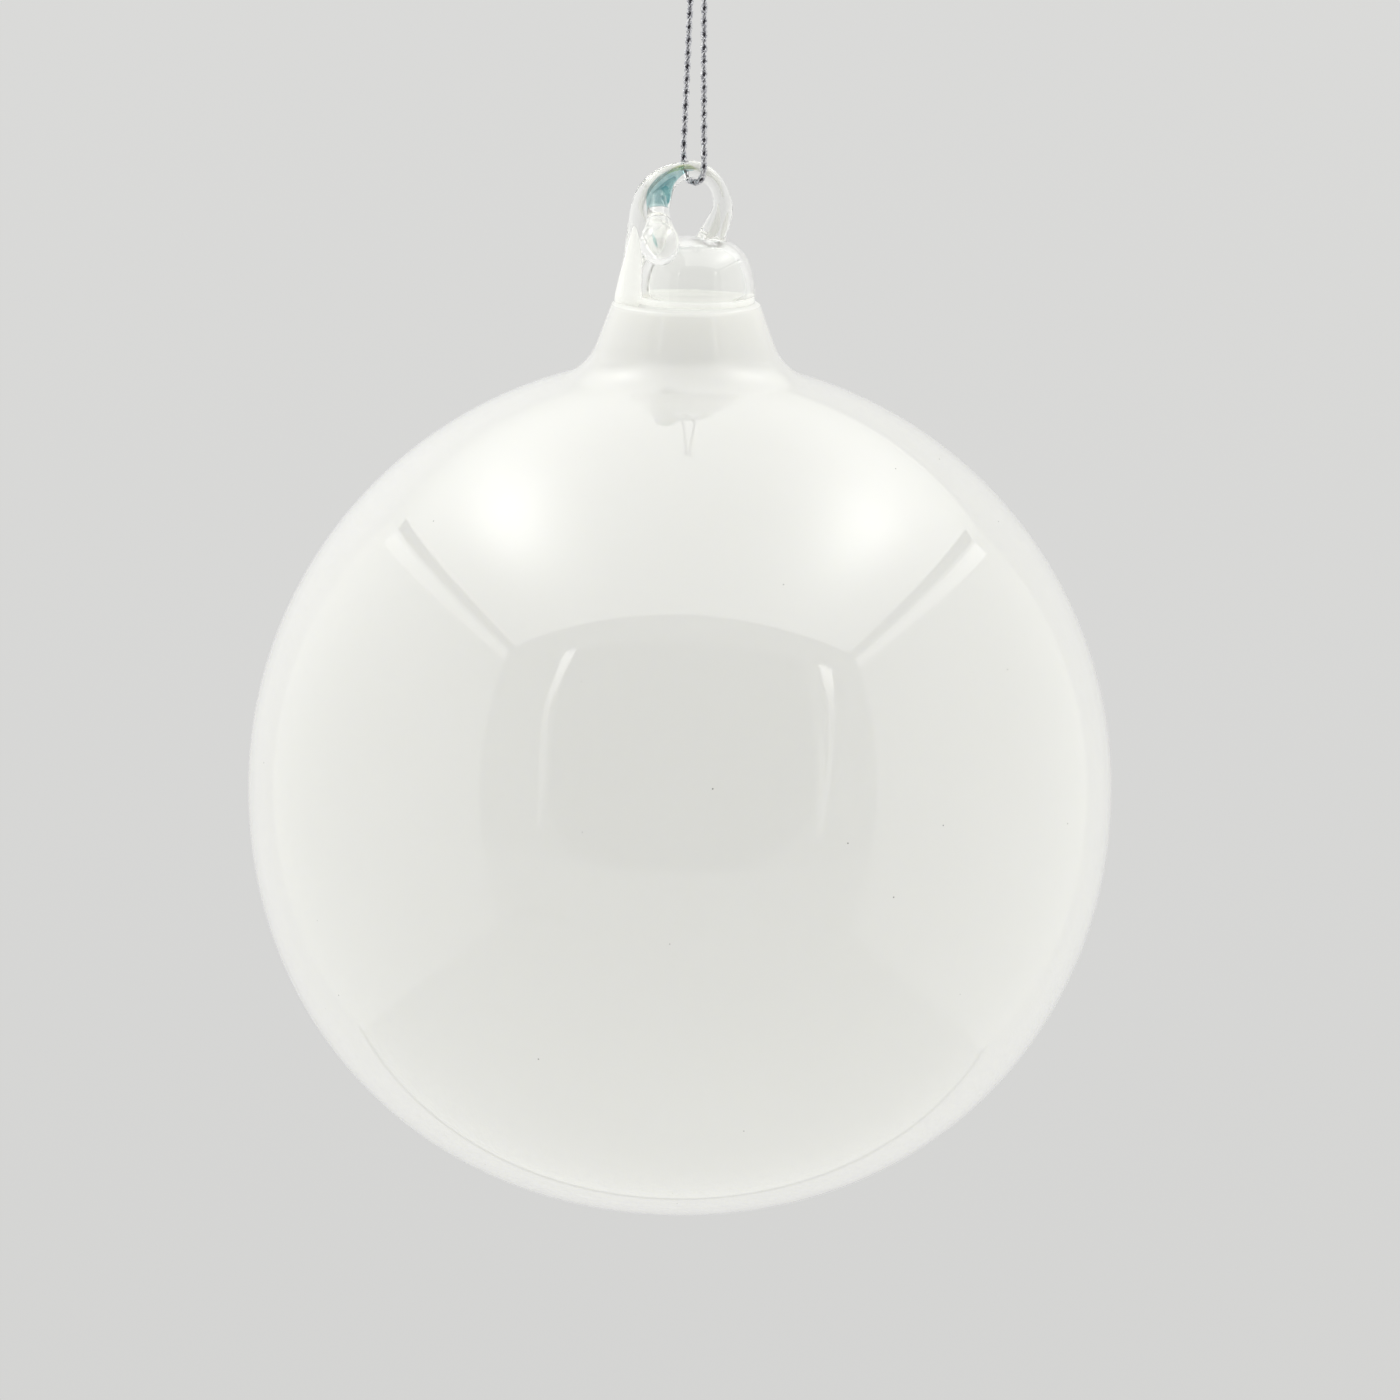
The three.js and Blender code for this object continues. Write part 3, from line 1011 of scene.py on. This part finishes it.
def make_tent_walls():
    """Ceiling with two soft lamps, floor, and back wall with a hem at its foot."""
    lamps = [
        ((-0.66, -0.06, CEILING), (0.18, 0.36, 1), 2.6),
        ((-0.62, -0.04, CEILING), (0.44, 0.80, 1), 1.5),
        ((0.67, -0.06, CEILING), (0.17, 0.36, 1), 2.2),
        ((0.66, -0.08, CEILING), (0.40, 0.85, 1), 1.35),
        ((0.0, BACK, CEILING), (3, 0.35, 1), -0.5),
    ]
    ends = ((LEFT_FRONT, -1), (RIGHT_FRONT, -1), (RIGHT_BACK, BACK), (LEFT_BACK, BACK))
    tent_sheet("tent_ceiling", [(x, y, CEILING) for x, y in ends], glow("tent_ceiling", WARM, 1.7, lamps))
    far = [((0, BACK, FLOOR), (1.5, 0.7, 1), 0.45)]
    tent_sheet("tent_floor", [(x, y, FLOOR) for x, y in ends], glow("tent_floor", WARM, 0.6, far))
    shades = [((0, BACK, 0), (0.6, 1, 0.6), -0.3), ((-0.9, BACK, 0.9), (0.9, 1, 0.8), 0.35)]
    wall = [(x, BACK, z) for x, z in box_outline(LEFT_BACK, RIGHT_BACK, FLOOR, CEILING)]
    tent_sheet("tent_back", wall, glow("tent_back", NEUTRAL, 0.9, shades))
    hem = [(x, BACK - HAIR, z) for x, z in box_outline(LEFT_BACK, RIGHT_BACK, FLOOR, HEM_TOP)]
    tent_sheet("hem_back", hem, glow("tent_hem", WARM, 0.5))


def make_tent_side(side, front_x, back_x):
    """A side wall, with a dark seam along its top and the light band of cloth that is folded under it."""
    inward = -math.copysign(HAIR, front_x)
    corners = ((front_x, -1, FLOOR), (back_x, BACK, FLOOR), (back_x, BACK, CEILING), (front_x, -1, CEILING))
    spots = [
        ((front_x, 0.5, 0.9), (1, 1.0, 0.8), 0.55 if front_x < 0 else 0.1),
        ((front_x, 0, FLOOR), (1, 1.8, 0.5), -0.1),
    ]
    tent_sheet("tent_" + side, corners, glow("tent_" + side, WARM, 1.12, spots))
    x0 = front_x + inward
    x1 = front_x + (back_x - front_x) * SEAM_END + inward
    y1 = -1 + (BACK + 1) * SEAM_END
    band = [(x0, -1, BAND_LOW), (x1, y1, BAND_LOW), (x1, y1, BAND_HIGH), (x0, -1, BAND_HIGH)]
    tent_sheet("band_" + side, band, glow("band", WARM, 2.3))
    width = -math.copysign(SEAM_WIDTH, front_x)
    z = CEILING - HAIR
    seam = [(x0, -1, z), (x1, y1, z), (x1 + width, y1, z), (x0 + width, -1, z)]
    tent_sheet("seam_" + side, seam, glow("seam", WARM, 0.35))


def make_tent_front():
    """The front: cloth round an opening with soft lower corners."""
    cloth = glow("tent_front", WARM, 0.42)
    low_cloth = glow("front_bottom", WARM, 0.62)
    left, right, top, bottom = OPENING_LEFT, OPENING_RIGHT, OPENING_TOP, OPENING_BOTTOM
    front_sheet("front_left", box_outline(LEFT_FRONT, left, bottom, CEILING), cloth)
    front_sheet("front_right", box_outline(right, RIGHT_FRONT, bottom, CEILING), cloth)
    front_sheet("front_top", box_outline(left, right, top, CEILING), cloth)
    front_sheet("front_bottom", box_outline(LEFT_FRONT, RIGHT_FRONT, FLOOR, bottom), low_cloth)
    corner_left = [(left, bottom), (-0.38, bottom), (-0.52, -0.30), (left, -0.12)]
    front_sheet("corner_left", corner_left, cloth)
    corner_right = [(right, bottom), (right, -0.08), (0.60, -0.18), (0.46, -0.27), (0.32, bottom)]
    front_sheet("corner_right", corner_right, cloth)


def make_front_strips():
    """What is sewn on the front: the opening's two bright turned-back edges, a pale band and a crease."""
    y = -1 + HAIR
    outer = [(-0.67, OPENING_TOP), (-0.72, 0.40), (-0.70, -0.05), (-0.73, -0.22)]
    inner = [(-0.68, -0.15), (-0.65, 0.1), (-0.68, 0.40)]
    left_top = [((-0.6, -1, OPENING_TOP), (1, 1, 0.33), 3.0)]
    left_edge = [(-0.59, OPENING_TOP), *outer, *inner]
    front_sheet("edge_left", left_edge, glow("edge_left", WARM, 1.0, left_top), y)
    outer = [(0.91, OPENING_TOP), (0.86, 0.50), (0.80, 0.2), (0.73, -0.17)]
    inner = [(0.70, -0.17), (0.76, 0.2), (0.81, 0.50)]
    right_top = [((0.85, -1, OPENING_TOP), (1, 1, 0.20), 3.0)]
    right_edge = [(0.80, OPENING_TOP), *outer, *inner]
    front_sheet("edge_right", right_edge, glow("edge_right", WARM, 1.15, right_top), y)
    band = [(0.70, 0.30), (0.74, 0.30), (0.74, -0.20), (0.68, -0.20), (0.70, 0.1)]
    front_sheet("band_right", band, glow("band_right", WARM, 0.95), y)
    lower = [(-1.14, -0.86), (-0.89, -0.70), (-0.74, -0.69), (-0.52, -0.70)]
    upper = [(-0.52, -0.67), (-0.74, -0.66), (-0.89, -0.67)]
    front_sheet("crease", [*lower, *upper], glow("crease", WARM, 0.1), y)


def make_room():
    """The dark room that the opening looks into."""
    wall = box_outline(-ROOM_SIDE, ROOM_SIDE, -ROOM_SIDE, ROOM_SIDE)
    front_sheet("room", wall, glow("room", NEUTRAL, 0.0), ROOM_FRONT)


def bowl(name, segments, material, *rays):
    """A closed bowl all round the scene, seen only by rays of these kinds."""
    profile = arc((0, 0), BOWL_RADIUS, -math.pi / 2, math.pi / 2, BOWL_STEPS)
    profile[0, 0] = profile[-1, 0] = 0
    obj = mesh_object(name, *revolve(profile, segments))
    obj.matrix_world = pitched
    obj.data.materials.append(material)
    seen_by(obj, *rays)


def make_world():
    """A black world, and the settings of the renderer's light paths and colours."""
    world = bpy.data.worlds.new("world")
    world.use_nodes = True
    world.node_tree.nodes["Background"].inputs["Color"].default_value = (0, 0, 0, 1)
    bpy.context.scene.world = world
    bpy.context.scene.cycles.glossy_bounces = 12  # light turns many times inside the clear glass
    bpy.context.scene.cycles.diffuse_bounces = 10
    bpy.context.scene.cycles.max_bounces = 20
    bpy.context.scene.view_settings.view_transform = "Standard"


make_tent_walls()
make_tent_side("left", LEFT_FRONT, LEFT_BACK)
make_tent_side("right", RIGHT_FRONT, RIGHT_BACK)
make_tent_front()
make_front_strips()
make_room()
fill = sloped_glow("fill_light", WARM, strength=1.018, slope=(0, 0, 0.03), front_loss=0.264)
bowl("fill_light", BOWL_STEPS, fill, "diffuse")
through = sloped_glow("glass_light", NEUTRAL, strength=0.71, slope=(0, 0, 0.05), spread=0.2)
bowl("glass_light", BOWL_STEPS, through, "transmission")
behind = sloped_glow("backdrop", GREY, strength=0.987, slope=(0, 0, 0.3))
bowl("backdrop", BACKDROP_SEGMENTS, behind, "camera")
make_world()
